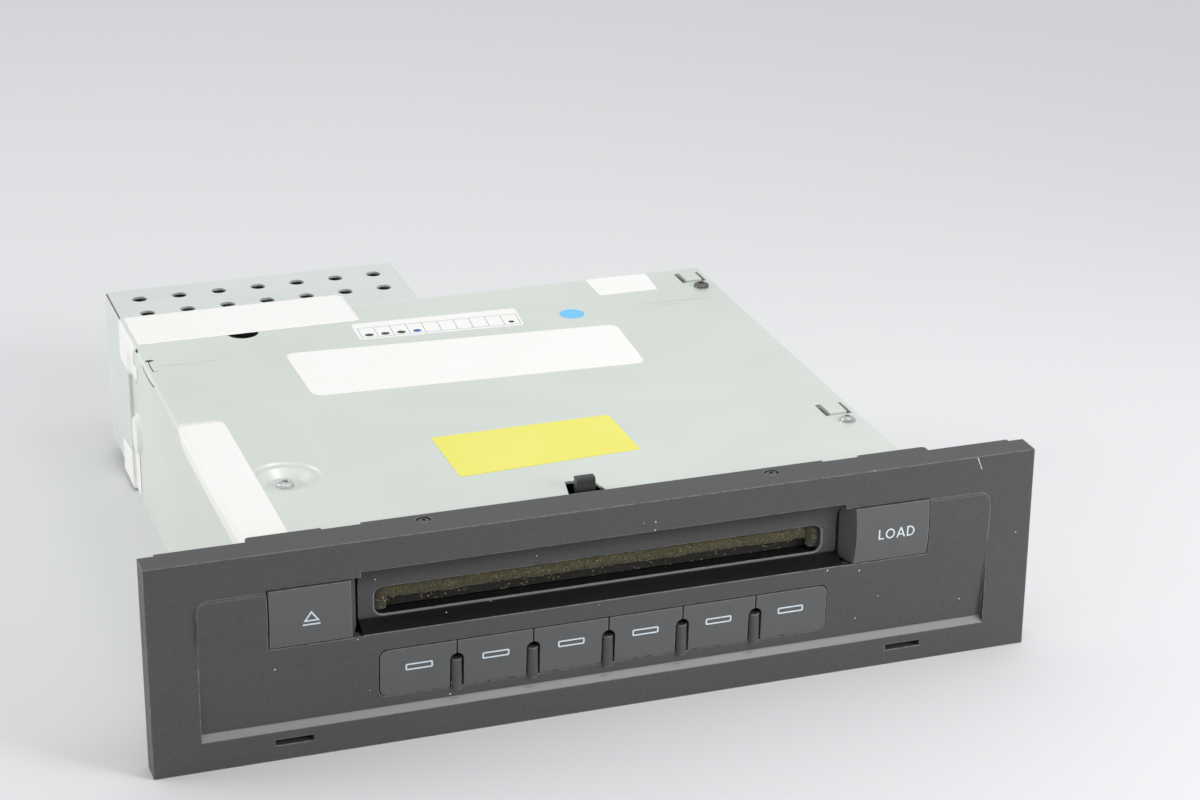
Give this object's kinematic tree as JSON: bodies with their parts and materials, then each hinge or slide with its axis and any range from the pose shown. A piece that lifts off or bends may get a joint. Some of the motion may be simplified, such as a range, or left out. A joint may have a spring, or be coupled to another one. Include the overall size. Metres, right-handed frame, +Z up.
{
  "type": "slot-loading disc changer",
  "caption": "Slot-loading disc changer for a glovebox: dark panel with disc slot and keys, steel case with a perforated rear cage, lifting disc trays and player inside.",
  "frame": {"origin": "centre of the bounding box on the plane that the unit rests on", "axes": "+X across the front panel to the right as seen from the front, +Y into the unit away from the panel, +Z up"},
  "size_m": [0.2384, 0.2104, 0.0574],
  "materials": {
    "panel_plastic": "fine-textured dark grey moulding",
    "key_plastic": "fine-textured dark grey moulding, a touch lighter",
    "felt": "olive speckled felt",
    "zinc_sheet": "satin zinc-plated sheet with a pale grey green tint",
    "cage_sheet": "satin zinc-plated sheet, slightly blue",
    "screw_steel": "bright plated",
    "black_plastic": "black moulding",
    "frame_sheet": "plain galvanised sheet",
    "roller_rubber": "dark rubber",
    "damper_rubber": "soft dark rubber",
    "shaft_steel": "ground shafting",
    "gear_plastic": "natural white acetal",
    "motor_can": "plated motor can",
    "tray_plastic": "black moulding",
    "board": "green solder-resist board",
    "lens": "clear moulded lens",
    "pin_metal": "gold-flashed pins"
  },
  "bodies": {
    "housing": {"front_panel": "panel_plastic", "slot_felt": "felt", "switch_board": "board", "tact_switches": "black_plastic", "chassis": "zinc_sheet", "top_cover": "zinc_sheet", "rear_cage": "cage_sheet", "cover_screws": "screw_steel", "dimple_screw": "screw_steel", "panel_screws": "screw_steel", "cage_screws": "screw_steel", "latch_clip": "black_plastic", "mech_frame": "frame_sheet", "dampers": "damper_rubber", "feed_motor": "motor_can", "lift_motor": "motor_can", "main_board": "board", "rear_connector": "black_plastic", "connector_pins": "pin_metal"},
    "eject_key": {"eject_button": "key_plastic"},
    "load_key": {"load_button": "key_plastic"},
    "disc_key_1": {"disc_button_1": "key_plastic"},
    "disc_key_2": {"disc_button_2": "key_plastic"},
    "disc_key_3": {"disc_button_3": "key_plastic"},
    "disc_key_4": {"disc_button_4": "key_plastic"},
    "disc_key_5": {"disc_button_5": "key_plastic"},
    "disc_key_6": {"disc_button_6": "key_plastic"},
    "roller": {"roller_shaft": "shaft_steel", "feed_roller": "roller_rubber", "roller_gear": "gear_plastic"},
    "idler": {"idler_gear": "gear_plastic"},
    "feed_drive": {"feed_pinion": "gear_plastic"},
    "disc_flap": {"disc_guide": "black_plastic"},
    "store": {"store_frame": "tray_plastic", "disc_tray_1": "tray_plastic", "disc_tray_2": "tray_plastic", "disc_tray_3": "tray_plastic", "disc_tray_4": "tray_plastic", "disc_tray_5": "tray_plastic", "disc_tray_6": "tray_plastic"},
    "cam_left": {"cam_slide_left": "frame_sheet"},
    "cam_right": {"cam_slide_right": "frame_sheet"},
    "sync": {"sync_shaft": "shaft_steel", "sync_gears": "gear_plastic"},
    "lift_drive": {"lift_pinion": "gear_plastic"},
    "player": {"play_arm": "frame_sheet", "spindle_motor": "motor_can", "guide_rods": "shaft_steel", "sled_motor": "motor_can"},
    "disc_table": {"turntable": "black_plastic"},
    "sled": {"pickup_sled": "black_plastic", "pickup_lens": "lens"},
    "feed_screw": {"sled_screw": "shaft_steel"},
    "clamp": {"clamp_arm": "frame_sheet"},
    "clamp_disc": {"clamper": "black_plastic"}
  },
  "joints": [
    {"name": "eject_press", "type": "slide", "parent": "housing", "child": "eject_key", "axis": [0, 1, 0], "range_m": [0, 0.0008], "stiffness_N_per_m": 500, "springref_m": -0.001},
    {"name": "load_press", "type": "slide", "parent": "housing", "child": "load_key", "axis": [0, 1, 0], "range_m": [0, 0.0008], "stiffness_N_per_m": 500, "springref_m": -0.001},
    {"name": "disc_press_1", "type": "slide", "parent": "housing", "child": "disc_key_1", "axis": [0, 1, 0], "range_m": [0, 0.0008], "stiffness_N_per_m": 500, "springref_m": -0.001},
    {"name": "disc_press_2", "type": "slide", "parent": "housing", "child": "disc_key_2", "axis": [0, 1, 0], "range_m": [0, 0.0008], "stiffness_N_per_m": 500, "springref_m": -0.001},
    {"name": "disc_press_3", "type": "slide", "parent": "housing", "child": "disc_key_3", "axis": [0, 1, 0], "range_m": [0, 0.0008], "stiffness_N_per_m": 500, "springref_m": -0.001},
    {"name": "disc_press_4", "type": "slide", "parent": "housing", "child": "disc_key_4", "axis": [0, 1, 0], "range_m": [0, 0.0008], "stiffness_N_per_m": 500, "springref_m": -0.001},
    {"name": "disc_press_5", "type": "slide", "parent": "housing", "child": "disc_key_5", "axis": [0, 1, 0], "range_m": [0, 0.0008], "stiffness_N_per_m": 500, "springref_m": -0.001},
    {"name": "disc_press_6", "type": "slide", "parent": "housing", "child": "disc_key_6", "axis": [0, 1, 0], "range_m": [0, 0.0008], "stiffness_N_per_m": 500, "springref_m": -0.001},
    {"name": "roller_turn", "type": "hinge", "parent": "housing", "child": "roller", "pos_m": [0, -0.0837, 0.0306], "axis": [1, 0, 0], "continuous": true},
    {"name": "idler_turn", "type": "hinge", "parent": "housing", "child": "idler", "pos_m": [0, -0.07282, 0.02553], "axis": [1, 0, 0], "continuous": true},
    {"name": "feed_drive_turn", "type": "hinge", "parent": "housing", "child": "feed_drive", "pos_m": [0, -0.06463, 0.01913], "axis": [1, 0, 0], "continuous": true},
    {"name": "flap_tilt", "type": "hinge", "parent": "housing", "child": "disc_flap", "pos_m": [0, -0.0892, 0.0416], "axis": [1, 0, 0], "range_deg": [0, 4], "stiffness_Nm_per_rad": 0.02, "springref_deg": -2.86},
    {"name": "store_lift", "type": "slide", "parent": "housing", "child": "store", "axis": [0, 0, 1], "range_m": [0, 0.011]},
    {"name": "cam_left_move", "type": "slide", "parent": "housing", "child": "cam_left", "axis": [0, -1, 0], "range_m": [0, 0.033]},
    {"name": "cam_right_move", "type": "slide", "parent": "housing", "child": "cam_right", "axis": [0, -1, 0], "range_m": [0, 0.033]},
    {"name": "sync_turn", "type": "hinge", "parent": "housing", "child": "sync", "pos_m": [0, 0.0118, 0.019], "axis": [1, 0, 0], "range_deg": [0, 316]},
    {"name": "lift_drive_turn", "type": "hinge", "parent": "housing", "child": "lift_drive", "pos_m": [0, 0.01943, 0.01385], "axis": [1, 0, 0], "range_deg": [-592, 0]},
    {"name": "player_swing", "type": "hinge", "parent": "housing", "child": "player", "pos_m": [-0.058, 0.0258, 0.006], "axis": [0, 0, 1], "range_deg": [0, 12]},
    {"name": "table_turn", "type": "hinge", "parent": "player", "child": "disc_table", "pos_m": [0, -0.0157, 0.014], "axis": [0, 0, 1], "continuous": true},
    {"name": "sled_move", "type": "slide", "parent": "player", "child": "sled", "axis": [-1, 0, 0], "range_m": [0, 0.03]},
    {"name": "feed_screw_turn", "type": "hinge", "parent": "player", "child": "feed_screw", "pos_m": [0, 0.0018, 0.011], "axis": [1, 0, 0], "range_deg": [0, 1082]},
    {"name": "clamp_swing", "type": "hinge", "parent": "housing", "child": "clamp", "pos_m": [0, 0.0503, 0.0488], "axis": [1, 0, 0], "range_deg": [0, 2]},
    {"name": "clamp_disc_turn", "type": "hinge", "parent": "clamp", "child": "clamp_disc", "pos_m": [0, -0.0157, 0.048], "axis": [0, 0, 1], "continuous": true}
  ],
  "couplings": [
    {"joint": "idler_turn", "follows": "roller_turn", "ratio": -0.66667},
    {"joint": "feed_drive_turn", "follows": "roller_turn", "ratio": 1.5},
    {"joint": "cam_left_move", "follows": "store_lift", "ratio": 3},
    {"joint": "cam_right_move", "follows": "store_lift", "ratio": 3},
    {"joint": "sync_turn", "follows": "store_lift", "rad_per_m": 500},
    {"joint": "lift_drive_turn", "follows": "store_lift", "rad_per_m": -937.5},
    {"joint": "feed_screw_turn", "follows": "sled_move", "rad_per_m": 628.32}
  ]
}
